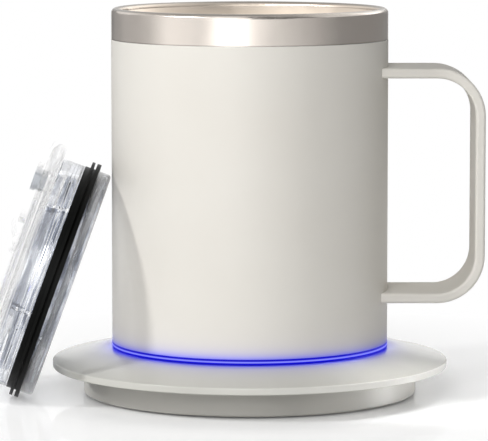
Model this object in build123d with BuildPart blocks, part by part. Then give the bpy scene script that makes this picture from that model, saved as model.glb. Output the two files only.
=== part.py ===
from build123d import *
import os
from math import asin, cos, pi, radians, sin, sqrt

# A self heating mug on its charging coaster, with the clear lid leaning beside it.
# Sizes are millimetres. The floor is z = 0 and the mug stands on the Z axis.
# The handle points to +X and the power inlet of the coaster faces +Y.

# Clearances
overrun = 2.0
touch_gap = 0.3
running_gap = 0.06
slip_gap = 0.1
edge_round = 0.5

# Coaster
seat_height = 15.4
seat_margin = 2.5
coaster_radius = 64.5
coaster_edge_bottom = 9.1
coaster_edge_top = 11.36
coaster_edge_round = 0.45
coaster_slope_blend = 14.0
coaster_wall = 2.2
coaster_skirt_depth = 2.8
coaster_skirt_wall = 1.4
drum_radius = 54.3
drum_wall = 2.0
drum_bottom = 0.6
drum_edge_round = 0.7
drum_floor = 1.8
pad_inset = 5.3
pad_thickness = 1.0
coaster_screw_inset = 10.3
coaster_screw_count = 3
coaster_screw_angle = 30.0
coaster_screw_length = 9.0
coaster_post_height = 2.8

# Coaster electronics
board_thickness = 1.2
board_standoff = 1.6
board_width = 26.0
board_front = 18.0
board_post_radius = 2.2
board_post_inset = 3.0
socket_width = 8.94
socket_height = 3.26
socket_length = 7.9
socket_shell = 0.35
socket_recess = 1.2
tongue_width = 6.6
tongue_thickness = 0.7
inlet_margin = 0.35
pin_block_radius = 12.0
pin_block_flange = 1.2
pin_block_lip = 2.0
pin_block_proud = 0.8
pin_radius = 0.9
pin_collar_radius = 1.3
pin_collar_length = 1.2
pin_proud = 0.62
pin_shoulder_depth = 2.7
ring_pin_offset = 9.0
spring_wire_radius = 0.15
spring_mean_radius = 1.0
spring_turns = 7

# Mug
mug_radius = 45.0
mug_height = 110.37
foot_proud = 0.32
shell_wall = 0.8
paint_thickness = 0.06
band_height = 10.13
shell_neck_height = 4.0
cup_wall = 0.6
vacuum_gap = 3.8
cup_corner = 7.0
lip_roll_radius = 1.55
lip_flare_depth = 4.0
shell_neck_slope = 1.0

# Light ring and base cover
ring_height = 1.66
ring_width = 4.0
ring_ledge_height = 1.2
ring_guide_inset = 1.0
ring_guide_wall = 1.2
ring_guide_height = 2.6
base_thickness = 2.58
base_screw_angle = 25.0
base_post_radius = 3.4
base_rib_inset = 2.1
base_rib_wall = 1.6
foot_margin = 3.0
foot_width = 7.8
foot_depth = 0.9
contact_well_radius = 14.5
contact_well_depth = 1.2
contact_pad_radius = 3.2
contact_ring_inner = 7.4
contact_ring_outer = 10.6
contact_thickness = 1.0
seal_width = 0.6
seal_height = 0.7

# Power button
button_radius = 3.5
button_flange_radius = 4.4
button_flange_thickness = 0.8
button_recess = 0.23
button_top = 2.48
button_travel = 0.6
dome_pressed_height = 0.55
dome_bottom_radius = 1.8
dome_top_radius = 2.8
dome_gap = 0.05

# Light ring board
led_board_thickness = 1.0
led_board_inner = 17.0
led_guide_gap = 1.0
led_count = 16
led_length = 1.6
led_width = 0.8
led_height = 0.7

# Battery pack and control board
holder_gap = 0.4
holder_inset = 2.4
holder_floor = 1.4
holder_saddle_height = 5.0
holder_post_radius = 3.0
cell_radius = 9.2
cell_end_gap = 1.27
cell_gap = 0.6
cell_nub_radius = 3.0
cell_nub_height = 0.5
strap_width = 8.0
strap_thickness = 0.3
control_board_gap = 2.3
control_board_top_gap = 2.4
control_board_end_gap = 10.5
control_board_thickness = 1.2
controller_size = 7.0
controller_height = 1.0
inductor_size = 6.0
inductor_height = 2.8
connector_length = 9.0
connector_width = 4.0
connector_height = 3.2

# Heater
heater_inset = 5.8
heater_thickness = 1.5
film_thickness = 0.4
pad_stack_thickness = 2.0
sensor_radius = 1.2
sensor_height = 1.0
sensor_x = 12.0

# Handle
handle_width = 30.0
handle_thickness = 3.2
handle_reach = 30.9
handle_drop = 8.76
handle_rise = 15.48
handle_corner = 15.5
handle_edge_round = 0.9

# Screws
screw_radius = 1.25
screw_head_radius = 2.2
screw_head_height = 1.2
screw_hex_radius = 1.0
screw_hex_depth = 0.7
base_screw_length = 9.0

# Lid
lid_lean = 20.0
lean_gap = 0.4
lid_y = -8.0
plug_gap = 1.8
plug_skirt = 16.2
plug_wall = 3.2
plug_mouth_round = 1.2
plug_corner_round = 2.5
gasket_top = 7.3
gasket_width = 4.7
gasket_depth = 1.5
fin_squeeze = 0.25
thin_fin = 0.9
thick_fin = 1.3
thin_fin_drop = 1.7
brim_overhang = 2.4
brim_thickness = 3.8
brim_round = 1.2
deck_height = 4.6
deck_inset = 1.8
deck_thickness = 2.4
drink_inset = 5.8
drink_width = 14.0
drink_length = 7.0
vent_inset = 14.3
vent_radius = 6.6
vent_pocket_depth = 1.2
vent_hole_radius = 1.2
vent_plug_height = 1.9
hinge_u = 6.6
hinge_rise = 0.7
hinge_pin_radius = 0.75
hinge_bore_gap = 0.08
knuckle_radius = 1.5
knuckle_half_width = 9.6
ear_radius = 1.7
ear_width = 3.0

# Flip cap
cap_gap = 0.3
cap_width = 26.0
cap_crown = 4.45
cap_corner = 7.0
cap_wall = 1.8
cap_tip_inset = 1.3
cap_tip_height = 0.7
seal_plug_gap = 0.45
seal_plug_depth = 1.4
seal_flange = 1.5

# Heights that follow from the sizes above: the cells and the heater stack set the cup's floor
base_z = seat_height + foot_proud
ring_top = base_z + ring_height
rim_top = base_z + mug_height
paint_line = rim_top - band_height
base_top = base_z + base_thickness
led_board_z = base_z + button_top + dome_gap + dome_pressed_height + button_travel
led_board_top = led_board_z + led_board_thickness
holder_z = led_board_top + holder_gap
cell_z = holder_z + holder_floor + cell_radius
stack_bottom = cell_z + cell_radius + touch_gap
stack_top = stack_bottom + pad_stack_thickness
film_top = stack_top + film_thickness
heater_top = film_top + heater_thickness
cup_floor = heater_top + cup_wall
contact_z = base_z + contact_well_depth
coaster_board_z = drum_bottom + drum_floor + board_standoff
coaster_board_top = coaster_board_z + board_thickness
pin_block_top = seat_height + pin_block_proud
pin_tip = pin_block_top + pin_proud
pin_shoulder = pin_block_top - pin_shoulder_depth
coaster_ceiling = seat_height - coaster_wall

# Radii that follow from the sizes above, from the mug's wall inwards
seat_radius = mug_radius + seat_margin
drum_inner = drum_radius - drum_wall
pad_radius = drum_radius - pad_inset
coaster_screw_circle = drum_radius - coaster_screw_inset
band_radius = mug_radius - paint_thickness
shell_inner = mug_radius - shell_wall
cup_bore_radius = shell_inner - vacuum_gap - cup_wall
heater_radius = cup_bore_radius - heater_inset
ring_inner = mug_radius - ring_width
guide_outer = shell_inner - ring_guide_inset
led_board_outer = guide_outer - ring_guide_wall - led_guide_gap
holder_radius = led_board_outer - holder_inset
base_radius = ring_inner - slip_gap
base_rib_outer = base_radius - base_rib_inset
base_rib_inner = base_rib_outer - base_rib_wall
foot_outer = base_radius - foot_margin
foot_inner = foot_outer - foot_width
button_x = -(contact_well_radius + foot_inner) / 2
base_screw_circle = (foot_outer + foot_inner) / 2
base_screw_x = base_screw_circle * cos(radians(base_screw_angle))
base_screw_y = base_screw_circle * sin(radians(base_screw_angle))
base_screw_places = [(sx * base_screw_x, sy * base_screw_y) for sx in (-1, 1) for sy in (-1, 1)]

# The cells fill the bay between the holder's walls, with the control board beside them
cell_spacing = 2 * cell_radius + cell_gap
cell_pack_half = cell_spacing / 2 + cell_radius
cell_length = 2 * (sqrt(holder_radius**2 - cell_pack_half**2) - cell_end_gap)
control_board_x = cell_pack_half + control_board_gap + control_board_thickness / 2
control_board_z = holder_z + holder_floor / 2
control_board_height = stack_bottom - control_board_top_gap - control_board_z
control_board_length = cell_length - 2 * control_board_end_gap

# The handle hangs between the paint line and the foot
handle_top = paint_line - handle_drop
handle_bottom = base_z + handle_rise

# The lid's plug fits the cup's bore
plug_radius = cup_bore_radius - plug_gap
plug_bore = plug_radius - plug_wall
fin_radius = cup_bore_radius + fin_squeeze
brim_radius = cup_bore_radius + brim_overhang
deck_radius = brim_radius - deck_inset
drink_u = plug_bore - drink_inset
vent_u = vent_inset - plug_bore
cap_tip_u = brim_radius - cap_tip_inset

# The lid leans on the mug: its plane is set by the lean, the floor and the mug wall
lid_up = Vector(sin(radians(lid_lean)), 0, cos(radians(lid_lean)))
lid_out = Vector(-cos(radians(lid_lean)), 0, sin(radians(lid_lean)))
lid_z = fin_radius * lid_up.Z + (gasket_top + gasket_width) * lid_out.Z
lid_touch_angle = asin(-lid_y / plug_radius)
lid_mouth_x = plug_radius * cos(lid_touch_angle) * lid_up.X - plug_skirt * lid_out.X
lid_round_x = plug_mouth_round * (lid_up.X - lid_out.X - 1)
lid_x = -(mug_radius + lean_gap + lid_mouth_x - lid_round_x)
lid_centre = Vector(lid_x, lid_y, lid_z)
lid_plane = Plane(origin=lid_centre, x_dir=lid_up, z_dir=lid_out)
lid_section = Plane(origin=lid_centre, x_dir=lid_up, z_dir=(0, -1, 0))
lid_axis = Axis(lid_centre, lid_out)
hinge_w = deck_height + hinge_rise


def along_lid(shape):
    """How far a point or edge lies up the leaning lid from its centre."""
    return (shape.center() - lid_centre).dot(lid_up)


def out_of_lid(shape):
    """How far a point or edge lies out of the plane of the lid's brim, towards the top of the lid."""
    return (shape.center() - lid_centre).dot(lid_out)


def ring(low, high, outer, inner=0.0):
    """A plain ring or disc about the Z axis between two heights."""
    with BuildPart() as piece:
        with BuildSketch(Plane.XY.offset(low)):
            Circle(outer)
            if inner > 0:
                Circle(inner, mode=Mode.SUBTRACT)
        extrude(amount=high - low)
    return piece


def socket_screws(places, head_z, length):
    """Cap screws with a hex recess, pointing up from the level of their heads."""
    with BuildPart() as piece:
        with BuildSketch(Plane.XY.offset(head_z)):
            with Locations(*places):
                Circle(screw_head_radius)
        extrude(amount=screw_head_height)
        with BuildSketch(Plane.XY.offset(head_z + screw_head_height)):
            with Locations(*places):
                Circle(screw_radius)
        extrude(amount=length)
        with BuildSketch(Plane.XY.offset(head_z)):
            with Locations(*places):
                RegularPolygon(screw_hex_radius, 6)
        extrude(amount=screw_hex_depth, mode=Mode.SUBTRACT)
    return piece


def coil_spring(x, low, high):
    """An open compression spring of one unbroken wire, from arcs that share their tangents."""
    pitch = (high - low - 2 * spring_wire_radius) / spring_turns
    steps = 4
    climb = pitch / (2 * pi)

    def place(turn):
        angle = 2 * pi * turn
        return Vector(
            x + spring_mean_radius * cos(angle),
            spring_mean_radius * sin(angle),
            low + spring_wire_radius + pitch * turn,
        )

    def heading(turn):
        angle = 2 * pi * turn
        return Vector(-spring_mean_radius * sin(angle), spring_mean_radius * cos(angle), climb).normalized()

    with BuildPart() as piece:
        with BuildLine() as path:
            for step in range(spring_turns * steps):
                start, end = step / steps, (step + 1) / steps
                chord = place(end) - place(start)
                both = heading(start) + heading(end)
                spread = 4 - both.dot(both)
                reach = (sqrt(both.dot(chord) ** 2 + spread * chord.dot(chord)) - both.dot(chord)) / spread
                joint = (place(start) + heading(start) * reach + place(end) - heading(end) * reach) / 2
                TangentArc(place(start), joint, tangent=heading(start))
                TangentArc(joint, place(end), tangent=chord - both * reach)
        with BuildSketch(Plane(origin=place(0), z_dir=heading(0))):
            Circle(spring_wire_radius)
        sweep(path=path.line)
    print("spring gap between turns", round(pitch - 2 * spring_wire_radius, 3))
    return piece


def spring_pin(x):
    """A contact pin with a rounded tip and the collar that its spring pushes on."""
    with BuildPart() as piece:
        with BuildSketch(Plane.XY.offset(pin_shoulder - slip_gap - pin_collar_length)):
            with Locations((x, 0)):
                Circle(pin_collar_radius)
        extrude(amount=pin_collar_length)
        with BuildSketch(Plane.XY.offset(pin_shoulder - slip_gap)):
            with Locations((x, 0)):
                Circle(pin_radius)
        extrude(amount=pin_tip - pin_shoulder + slip_gap)
        fillet(piece.edges().group_by(Axis.Z)[-1], pin_radius / 2)
    return piece


# Coaster top: a thin wide disc that falls from the seat to its edge
with BuildPart() as coaster_top:
    with BuildSketch(Plane.XZ):
        with BuildLine():
            Polyline(
                (0, coaster_ceiling),
                (0, seat_height),
                (seat_radius, seat_height),
                (coaster_radius, coaster_edge_top),
                (coaster_radius, coaster_edge_bottom),
                (drum_inner - slip_gap, coaster_edge_bottom),
                (drum_inner - slip_gap, coaster_edge_bottom - coaster_skirt_depth),
                (drum_inner - slip_gap - coaster_skirt_wall, coaster_edge_bottom - coaster_skirt_depth),
                (drum_inner - slip_gap - coaster_skirt_wall, coaster_edge_top),
                (seat_radius - coaster_wall, coaster_ceiling),
                close=True,
            )
        make_face()
    revolve(axis=Axis.Z)
    rim_edges = coaster_top.edges().filter_by(
        lambda edge: edge.geom_type == GeomType.CIRCLE and abs(edge.radius - coaster_radius) < slip_gap
    )
    fillet(rim_edges, coaster_edge_round)
    seat_edge = coaster_top.edges().group_by(Axis.Z)[-1]
    fillet(seat_edge, coaster_slope_blend)
    with BuildSketch(Plane.XY.offset(coaster_ceiling)):
        with PolarLocations(coaster_screw_circle, coaster_screw_count, start_angle=coaster_screw_angle):
            Circle(base_post_radius)
    extrude(amount=drum_bottom + drum_floor + coaster_post_height - coaster_ceiling)
    with BuildSketch(Plane.XY.offset(drum_bottom)):
        with PolarLocations(coaster_screw_circle, coaster_screw_count, start_angle=coaster_screw_angle):
            Circle(screw_radius)
    extrude(amount=drum_floor + coaster_screw_length + screw_head_height, mode=Mode.SUBTRACT)
    with BuildSketch(Plane.XY.offset(seat_height + overrun)):
        Circle(pin_block_radius + slip_gap)
    extrude(amount=-coaster_wall - 2 * overrun, mode=Mode.SUBTRACT)
    with BuildSketch(Plane.XY.offset(coaster_ceiling)):
        with Locations((0, drum_inner)):
            Rectangle(socket_width + 2 * overrun, 2 * overrun + 2 * coaster_skirt_wall)
    extrude(amount=coaster_board_z - coaster_ceiling, mode=Mode.SUBTRACT)

# Coaster base: the drum below the disc, with screw posts, board posts and the inlet slot
inlet_z = coaster_board_top + socket_height / 2
with BuildPart() as coaster_base:
    with BuildSketch(Plane.XZ):
        with BuildLine():
            Polyline(
                (0, pad_thickness),
                (pad_radius + slip_gap, pad_thickness),
                (pad_radius + slip_gap, drum_bottom),
                (drum_radius, drum_bottom),
                (drum_radius, coaster_edge_bottom),
                (drum_inner, coaster_edge_bottom),
                (drum_inner, drum_bottom + drum_floor),
                (0, drum_bottom + drum_floor),
                close=True,
            )
        make_face()
    revolve(axis=Axis.Z)
    outer_edge = coaster_base.edges().filter_by(
        lambda edge: edge.geom_type == GeomType.CIRCLE
        and abs(edge.radius - drum_radius) < slip_gap
        and edge.center().Z < drum_bottom + slip_gap
    )
    fillet(outer_edge, drum_edge_round)
    with BuildSketch(Plane.XY.offset(drum_bottom + drum_floor)):
        with PolarLocations(coaster_screw_circle, coaster_screw_count, start_angle=coaster_screw_angle):
            Circle(base_post_radius)
    extrude(amount=coaster_post_height)
    with BuildSketch(Plane.XY.offset(drum_bottom + drum_floor)):
        for post_y in (board_post_inset - board_front, pad_radius - board_post_inset - socket_length):
            for side in (-1, 1):
                with Locations((side * (board_width / 2 - board_post_inset), post_y)):
                    Circle(board_post_radius)
    extrude(amount=board_standoff)
    with BuildSketch(Plane.XY.offset(drum_bottom)):
        with PolarLocations(coaster_screw_circle, coaster_screw_count, start_angle=coaster_screw_angle):
            Circle(screw_radius + slip_gap)
    extrude(amount=drum_floor + coaster_post_height + overrun, mode=Mode.SUBTRACT)
    with BuildSketch(Plane.XY.offset(drum_bottom)):
        with PolarLocations(coaster_screw_circle, coaster_screw_count, start_angle=coaster_screw_angle):
            Circle(screw_head_radius + slip_gap)
    extrude(amount=pad_thickness + screw_head_height - drum_bottom, mode=Mode.SUBTRACT)
    with BuildSketch(Plane.XZ.offset(-drum_inner + overrun)):
        with Locations((0, inlet_z)):
            SlotOverall(socket_width + 2 * inlet_margin, socket_height + 2 * inlet_margin)
    extrude(amount=-drum_wall - 2 * overrun, mode=Mode.SUBTRACT)

foot_pad = ring(0, pad_thickness, pad_radius)
with foot_pad:
    fillet(foot_pad.edges().group_by(Axis.Z)[0], edge_round / 2)

coaster_screw_places = [
    (
        coaster_screw_circle * cos(radians(coaster_screw_angle + 360 * index / coaster_screw_count)),
        coaster_screw_circle * sin(radians(coaster_screw_angle + 360 * index / coaster_screw_count)),
    )
    for index in range(coaster_screw_count)
]
coaster_screws = socket_screws(coaster_screw_places, pad_thickness, coaster_screw_length)

# Charging board with its inlet and the block that carries the contact pins
socket_mouth = drum_radius - socket_recess
board_back = socket_mouth - socket_recess - drum_wall
with BuildPart() as charging_board:
    with BuildSketch(Plane.XY.offset(coaster_board_z)):
        with Locations((0, (board_back - board_front) / 2)):
            RectangleRounded(board_width, board_back + board_front, board_post_inset)
    extrude(amount=board_thickness)

with BuildPart() as power_inlet:
    with BuildSketch(Plane.XZ.offset(-socket_mouth)):
        with Locations((0, inlet_z)):
            SlotOverall(socket_width, socket_height)
    extrude(amount=socket_length)
    with BuildSketch(Plane.XZ.offset(-socket_mouth)):
        with Locations((0, inlet_z)):
            SlotOverall(socket_width - 2 * socket_shell, socket_height - 2 * socket_shell)
            Rectangle(tongue_width, tongue_thickness, mode=Mode.SUBTRACT)
    extrude(amount=socket_length - 2 * socket_shell, mode=Mode.SUBTRACT)

with BuildPart() as charging_chips:
    with BuildSketch(Plane.XY.offset(coaster_board_top)):
        with Locations((0, board_back - socket_length - 2 * controller_size)):
            Rectangle(controller_size, controller_size)
        with Locations((-controller_size, pin_block_radius + inductor_size)):
            Rectangle(inductor_size / 2, inductor_size / 2)
        with Locations((controller_size, pin_block_radius + inductor_size)):
            Rectangle(inductor_size / 2, inductor_size / 2)
    extrude(amount=controller_height)

with BuildPart() as pin_block:
    with BuildSketch(Plane.XY.offset(coaster_board_top)):
        Circle(pin_block_radius)
    extrude(amount=pin_block_top - coaster_board_top)
    with BuildSketch(Plane.XY.offset(coaster_ceiling)):
        Circle(pin_block_radius + pin_block_lip)
    extrude(amount=-pin_block_flange)
    fillet(pin_block.edges().group_by(Axis.Z)[-1], edge_round)
    with BuildSketch(Plane.XY.offset(pin_block_top + overrun)):
        with Locations((0, 0), (ring_pin_offset, 0)):
            Circle(pin_radius + running_gap)
    extrude(amount=-pin_shoulder_depth - 2 * overrun, mode=Mode.SUBTRACT)
    with BuildSketch(Plane.XY.offset(pin_shoulder)):
        with Locations((0, 0), (ring_pin_offset, 0)):
            Circle(pin_collar_radius + running_gap)
    extrude(amount=coaster_board_top - pin_shoulder, mode=Mode.SUBTRACT)

contact_pin_centre = spring_pin(0)
contact_pin_ring = spring_pin(ring_pin_offset)
spring_top = pin_shoulder - slip_gap - pin_collar_length
centre_pin_spring = coil_spring(0, coaster_board_top, spring_top)
ring_pin_spring = coil_spring(ring_pin_offset, coaster_board_top, spring_top)

# Outer shell: a painted steel tube with a neck that sits inside the bare band
with BuildPart() as outer_shell:
    with BuildSketch(Plane.XZ):
        with BuildLine():
            Polyline(
                (mug_radius, ring_top),
                (mug_radius, paint_line),
                (band_radius - cup_wall, paint_line),
                (band_radius - cup_wall, paint_line + shell_neck_height),
                (band_radius - cup_wall - shell_wall, paint_line + shell_neck_height),
                (band_radius - cup_wall - shell_wall, paint_line - shell_neck_slope),
                (shell_inner, paint_line - 2 * shell_neck_slope),
                (shell_inner, ring_top),
                close=True,
            )
        make_face()
    revolve(axis=Axis.Z)

# Inner cup: drawn steel whose lip is rolled over into the bare band outside
lip_centre_r = band_radius - lip_roll_radius
lip_centre_z = rim_top - lip_roll_radius
flare_bottom = lip_centre_z - lip_flare_depth
inner_roll = lip_roll_radius - cup_wall
cup_outer = cup_bore_radius + cup_wall
with BuildPart() as inner_cup:
    with BuildSketch(Plane.XZ):
        with BuildLine():
            corner_centre = (cup_bore_radius - cup_corner, cup_floor + cup_corner)
            Line((0, cup_floor), (cup_bore_radius - cup_corner, cup_floor))
            CenterArc(corner_centre, cup_corner, -90, 90)
            Line((cup_bore_radius, cup_floor + cup_corner), (cup_bore_radius, flare_bottom))
            Line((cup_bore_radius, flare_bottom), (lip_centre_r - lip_roll_radius, lip_centre_z))
            CenterArc((lip_centre_r, lip_centre_z), lip_roll_radius, 0, 180)
            Line((band_radius, lip_centre_z), (band_radius, paint_line))
            Line((band_radius, paint_line), (band_radius - cup_wall, paint_line))
            Line((band_radius - cup_wall, paint_line), (band_radius - cup_wall, lip_centre_z))
            CenterArc((lip_centre_r, lip_centre_z), inner_roll, 0, 180)
            Line((lip_centre_r - inner_roll, lip_centre_z), (cup_outer, flare_bottom))
            Line((cup_outer, flare_bottom), (cup_outer, cup_floor + cup_corner))
            CenterArc(corner_centre, cup_corner + cup_wall, -90, 90)
            Line((cup_bore_radius - cup_corner, heater_top), (0, heater_top))
            Line((0, heater_top), (0, cup_floor))
        make_face()
    revolve(axis=Axis.Z)

# Handle: a flat strap bent to a D, its arms fitted to the round wall
handle_x = mug_radius + handle_reach
handle_mid_z = (handle_top + handle_bottom) / 2
with BuildPart() as handle:
    with BuildSketch(Plane.XZ):
        with Locations((handle_x / 2, handle_mid_z)):
            Rectangle(handle_x, handle_top - handle_bottom)
        fillet(vertices().group_by(Axis.X)[-1], handle_corner)
    extrude(amount=handle_width / 2, both=True)
    with BuildSketch(Plane.XZ):
        with Locations(((handle_x - handle_thickness) / 2, handle_mid_z)):
            Rectangle(handle_x - handle_thickness, handle_top - handle_bottom - 2 * handle_thickness)
        fillet(vertices().group_by(Axis.X)[-1], handle_corner - handle_thickness)
    extrude(amount=handle_width / 2 + overrun, both=True, mode=Mode.SUBTRACT)
    strap_edges = handle.edges().filter_by(
        lambda edge: abs(abs(edge.center().Y) - handle_width / 2) < slip_gap and edge.center().X > slip_gap
    )
    fillet(strap_edges, handle_edge_round)
    with BuildSketch(Plane.XY):
        Circle(mug_radius)
    extrude(amount=rim_top, mode=Mode.SUBTRACT)

# Light ring: the glowing foot band, with the ledge and upstand that gather the light inside
with BuildPart() as light_ring:
    with BuildSketch(Plane.XZ):
        with BuildLine():
            Polyline(
                (ring_inner, base_z),
                (mug_radius, base_z),
                (mug_radius, ring_top),
                (shell_inner - slip_gap, ring_top),
                (shell_inner - slip_gap, ring_top + ring_ledge_height),
                (guide_outer, ring_top + ring_ledge_height),
                (guide_outer, ring_top + ring_ledge_height + ring_guide_height),
                (guide_outer - ring_guide_wall, ring_top + ring_ledge_height + ring_guide_height),
                (guide_outer - ring_guide_wall, ring_top + ring_ledge_height),
                (ring_inner, ring_top + ring_ledge_height),
                close=True,
            )
        make_face()
    revolve(axis=Axis.Z)

# Base cover: the plate under the mug with its contact well, screw posts and button hole
with BuildPart() as base_cover:
    with BuildSketch(Plane.XY.offset(base_z)):
        Circle(base_radius)
    extrude(amount=base_thickness)
    with BuildSketch(Plane.XY.offset(base_top)):
        Circle(base_rib_outer)
        Circle(base_rib_inner, mode=Mode.SUBTRACT)
    extrude(amount=led_board_z - base_top)
    with BuildSketch(Plane.XY.offset(base_top)):
        with Locations(*base_screw_places):
            Circle(base_post_radius)
    extrude(amount=holder_z - base_top)
    with BuildSketch(Plane.XY.offset(base_z)):
        Circle(contact_well_radius)
    extrude(amount=contact_well_depth, mode=Mode.SUBTRACT)
    with BuildSketch(Plane.XY.offset(contact_z)):
        Circle(contact_ring_outer)
        Circle(contact_ring_inner, mode=Mode.SUBTRACT)
        Circle(contact_pad_radius)
    extrude(amount=contact_thickness, mode=Mode.SUBTRACT)
    with BuildSketch(Plane.XY.offset(base_z)):
        Circle(foot_outer + slip_gap)
        Circle(foot_inner - slip_gap, mode=Mode.SUBTRACT)
    extrude(amount=foot_depth, mode=Mode.SUBTRACT)
    with BuildSketch(Plane.XY.offset(base_z)):
        with Locations(*base_screw_places):
            Circle(screw_radius + slip_gap)
    extrude(amount=holder_z - base_z, mode=Mode.SUBTRACT)
    with BuildSketch(Plane.XY.offset(base_z)):
        with Locations(*base_screw_places):
            Circle(screw_head_radius + slip_gap)
    extrude(amount=foot_depth + screw_head_height, mode=Mode.SUBTRACT)
    with BuildSketch(Plane.XY.offset(base_z)):
        with Locations((button_x, 0)):
            Circle(button_radius + running_gap)
    extrude(amount=base_thickness, mode=Mode.SUBTRACT)
    with BuildSketch(Plane.XY.offset(base_top)):
        with Locations((button_x, 0)):
            Circle(button_flange_radius + slip_gap)
    extrude(amount=-base_thickness / 2, mode=Mode.SUBTRACT)
    with BuildSketch(Plane.XY.offset(base_z + seal_width)):
        Circle(base_radius + overrun)
        Circle(ring_inner - seal_width, mode=Mode.SUBTRACT)
    extrude(amount=seal_height, mode=Mode.SUBTRACT)

base_seal = ring(base_z + seal_width, base_z + seal_width + seal_height, ring_inner, ring_inner - seal_width)
foot_ring = ring(seat_height, base_z + foot_depth, foot_outer, foot_inner)
centre_contact = ring(contact_z, contact_z + contact_thickness, contact_pad_radius)
ring_contact = ring(contact_z, contact_z + contact_thickness, contact_ring_outer, contact_ring_inner)
base_screws = socket_screws(base_screw_places, base_z + foot_depth, base_screw_length)

# Power button in the base, with the rubber dome that returns it
button_z = base_z + button_recess
with BuildPart() as power_button:
    with BuildSketch(Plane.XY.offset(button_z)):
        with Locations((button_x, 0)):
            Circle(button_radius)
    extrude(amount=button_top - button_recess)
    fillet(power_button.edges().group_by(Axis.Z)[0], edge_round)
    with BuildSketch(Plane.XY.offset(base_top - base_thickness / 2 + dome_gap)):
        with Locations((button_x, 0)):
            Circle(button_flange_radius)
    extrude(amount=button_flange_thickness)

with BuildPart() as button_dome:
    with BuildSketch(Plane.XY.offset(base_z + button_top + dome_gap)):
        with Locations((button_x, 0)):
            Circle(dome_bottom_radius)
    with BuildSketch(Plane.XY.offset(led_board_z)):
        with Locations((button_x, 0)):
            Circle(dome_top_radius)
    loft()

# Light board: a ring board that carries the lamps beside the upstand of the light ring
with BuildPart() as led_board:
    with BuildSketch(Plane.XY.offset(led_board_z)):
        Circle(led_board_outer)
        Circle(led_board_inner, mode=Mode.SUBTRACT)
        with Locations(*base_screw_places):
            Circle(base_post_radius + slip_gap, mode=Mode.SUBTRACT)
    extrude(amount=led_board_thickness)

with BuildPart() as leds:
    with BuildSketch(Plane.XY.offset(led_board_top)):
        with PolarLocations(led_board_outer - led_width, led_count):
            Rectangle(led_width, led_length)
    extrude(amount=led_height)

# Battery holder: a tray with saddles for two cells and posts that clamp the heater stack
cell_places = (-cell_spacing / 2, cell_spacing / 2)
with BuildPart() as battery_holder:
    with BuildSketch(Plane.XY.offset(holder_z)):
        Circle(holder_radius)
    extrude(amount=holder_floor)
    with BuildSketch(Plane.XY.offset(holder_z + holder_floor)):
        for saddle_y in (-cell_length / 4, cell_length / 4):
            with Locations((0, saddle_y)):
                Rectangle(2 * cell_spacing, holder_saddle_height)
    extrude(amount=holder_saddle_height)
    with BuildSketch(Plane.XZ.offset(-cell_length / 2)):
        with Locations(*[(cell_x, cell_z) for cell_x in cell_places]):
            Circle(cell_radius)
    extrude(amount=cell_length, mode=Mode.SUBTRACT)
    with BuildSketch(Plane.XY.offset(holder_z)):
        with Locations(*base_screw_places):
            Circle(holder_post_radius)
    extrude(amount=stack_bottom - holder_z)
    with BuildSketch(Plane.XY.offset(holder_z)):
        with Locations(*base_screw_places):
            Circle(screw_radius)
    extrude(amount=base_screw_length, mode=Mode.SUBTRACT)
    with BuildSketch(Plane.XY.offset(holder_z + holder_floor / 2)):
        with Locations((control_board_x, 0)):
            Rectangle(control_board_thickness, control_board_length)
    extrude(amount=cell_radius, mode=Mode.SUBTRACT)


def battery_cell(x):
    """A round cell lying along Y, with its raised positive end at the back."""
    with BuildPart() as piece:
        with BuildSketch(Plane.XZ.offset(-cell_length / 2)):
            with Locations((x, cell_z)):
                Circle(cell_radius)
        extrude(amount=cell_length)
        fillet(piece.edges().filter_by(GeomType.CIRCLE), edge_round)
        with BuildSketch(Plane.XZ.offset(-cell_length / 2)):
            with Locations((x, cell_z)):
                Circle(cell_nub_radius)
        extrude(amount=-cell_nub_height)
    return piece


battery_cell_left = battery_cell(cell_places[0])
battery_cell_right = battery_cell(cell_places[1])

with BuildPart() as cell_straps:
    with BuildSketch(Plane.XZ.offset(-cell_length / 2 - cell_nub_height)):
        with Locations((0, cell_z)):
            RectangleRounded(cell_spacing + strap_width, strap_width, edge_round)
    extrude(amount=-strap_thickness)
    with BuildSketch(Plane.XZ.offset(cell_length / 2)):
        with Locations((0, cell_z)):
            RectangleRounded(cell_spacing + strap_width, strap_width, edge_round)
    extrude(amount=strap_thickness)

# Control board, standing on edge beside the cells
control_board_face = control_board_x + control_board_thickness / 2
with BuildPart() as control_board:
    with BuildSketch(Plane.YZ.offset(control_board_x - control_board_thickness / 2)):
        with Locations((0, control_board_z + control_board_height / 2)):
            RectangleRounded(control_board_length, control_board_height, edge_round)
    extrude(amount=control_board_thickness)

with BuildPart() as control_chips:
    with BuildSketch(Plane.YZ.offset(control_board_face)):
        with Locations((0, control_board_z + control_board_height / 2)):
            Rectangle(controller_size, controller_size)
    extrude(amount=controller_height)
    with BuildSketch(Plane.YZ.offset(control_board_face)):
        with Locations((-control_board_length / 4, control_board_z + control_board_height / 2)):
            RectangleRounded(inductor_size, inductor_size, edge_round)
    extrude(amount=inductor_height)
    with BuildSketch(Plane.YZ.offset(control_board_face)):
        with Locations((control_board_length / 4, control_board_z + control_board_height / 2)):
            Rectangle(connector_length, connector_width)
    extrude(amount=connector_height)

# Heater stack under the cup: spreader plate, heating film, spring pad and sensor
with BuildPart() as heater_plate:
    with BuildSketch(Plane.XY.offset(film_top)):
        Circle(heater_radius - cup_corner / 2)
    extrude(amount=heater_thickness)
    with BuildSketch(Plane.XY.offset(film_top)):
        with Locations((sensor_x, 0)):
            Circle(sensor_radius + slip_gap)
    extrude(amount=sensor_height, mode=Mode.SUBTRACT)

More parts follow.
